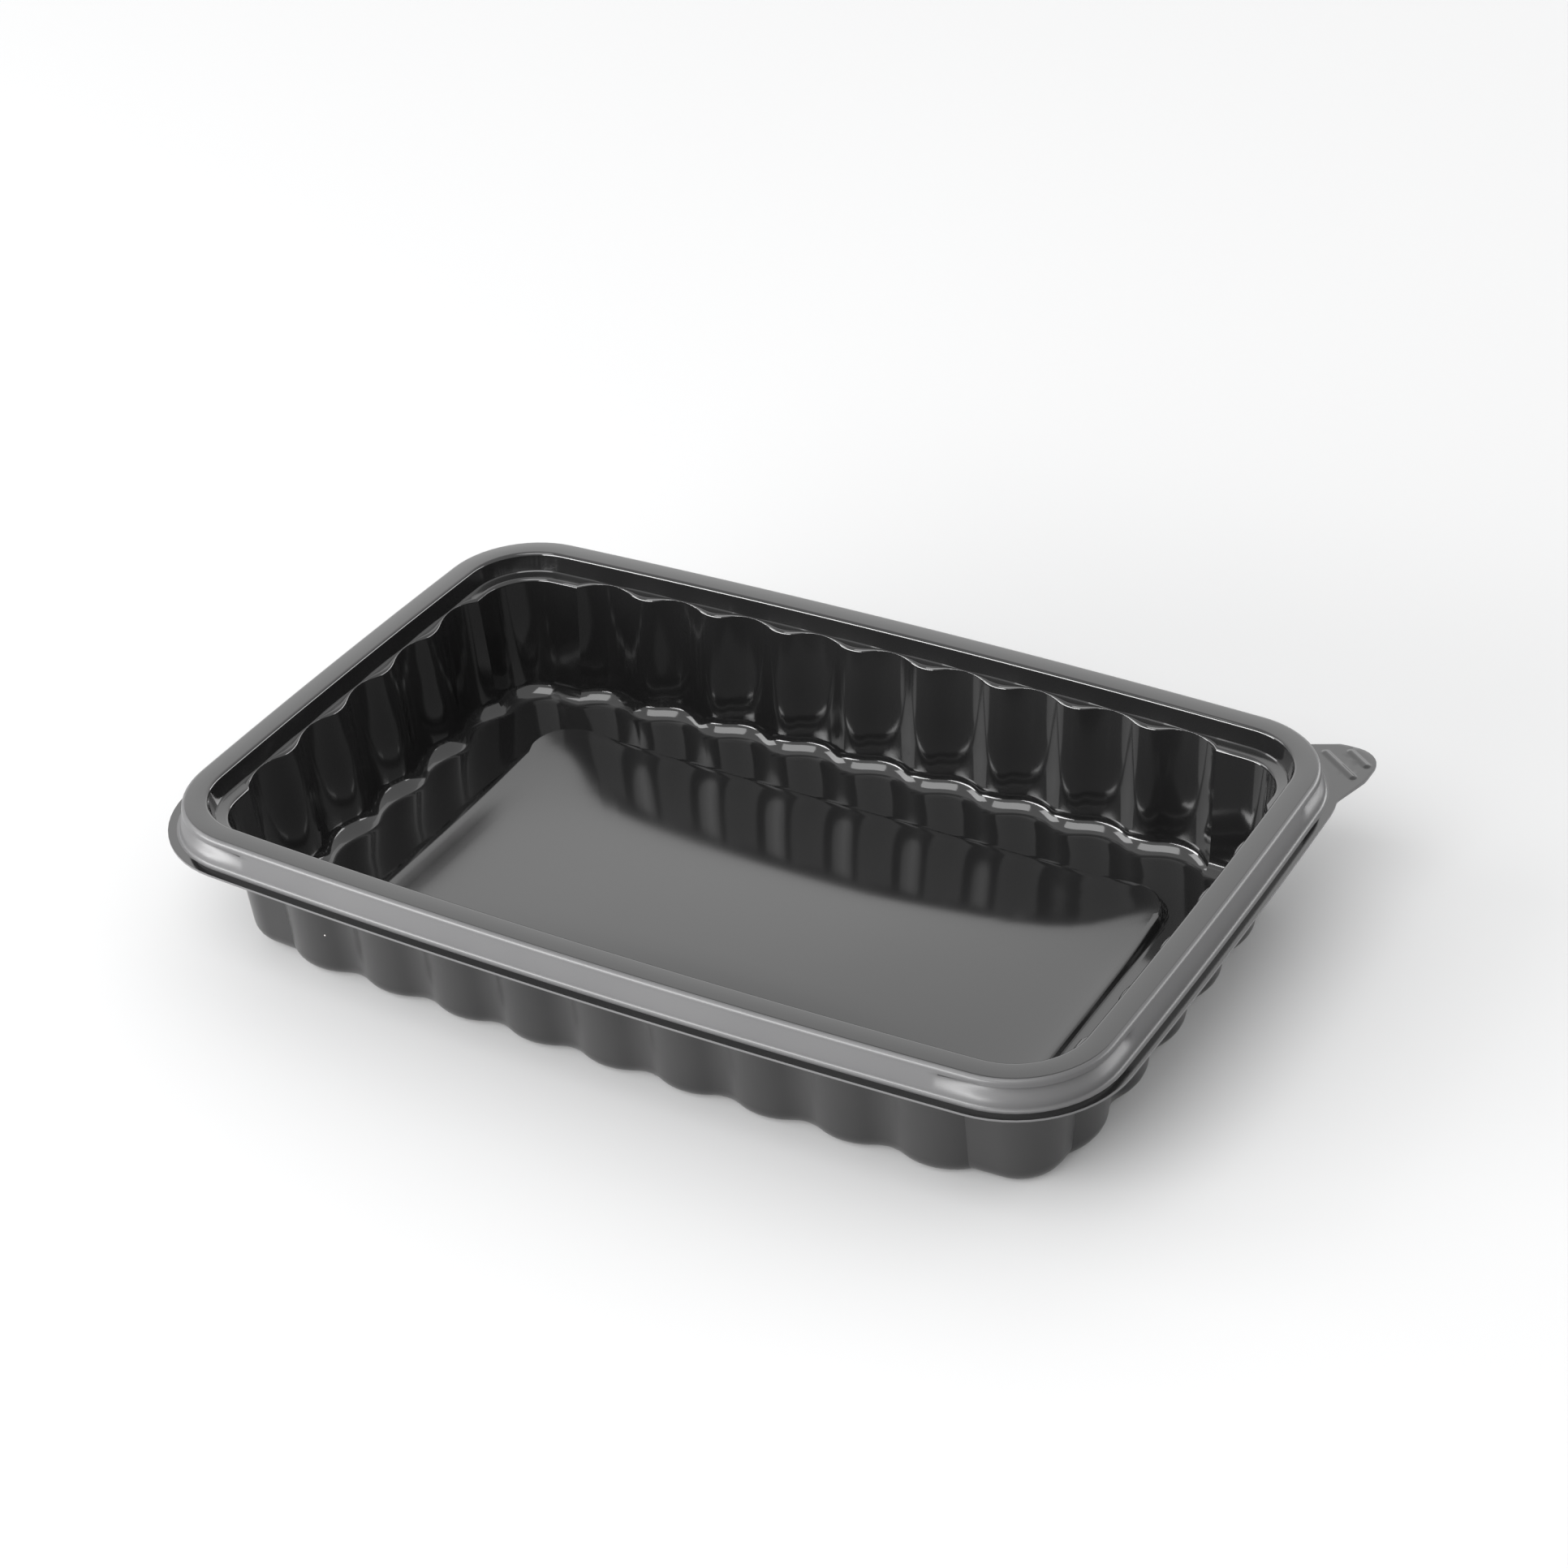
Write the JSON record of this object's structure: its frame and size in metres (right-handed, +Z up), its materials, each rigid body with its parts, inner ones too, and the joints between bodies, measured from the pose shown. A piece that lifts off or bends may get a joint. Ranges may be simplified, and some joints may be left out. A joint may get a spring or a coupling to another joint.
{
  "type": "takeaway meal container",
  "caption": "Rectangular black plastic takeaway meal tray with fluted walls, a bowed snap rim with corner grooves, a lift tab and a raised floor panel.",
  "frame": {"origin": "middle of the outline, lift tab included, at the height of the table", "axes": "+X along the long side towards the end with the lift tab, +Y towards the long side with the tab, +Z up out of the open top"},
  "size_m": [0.2316, 0.1516, 0.0365],
  "materials": {
    "black_plastic": "glossy black polypropylene inside and on the rim, satin outside"
  },
  "bodies": {
    "root": {"tray": "black_plastic"}
  },
  "joints": []
}
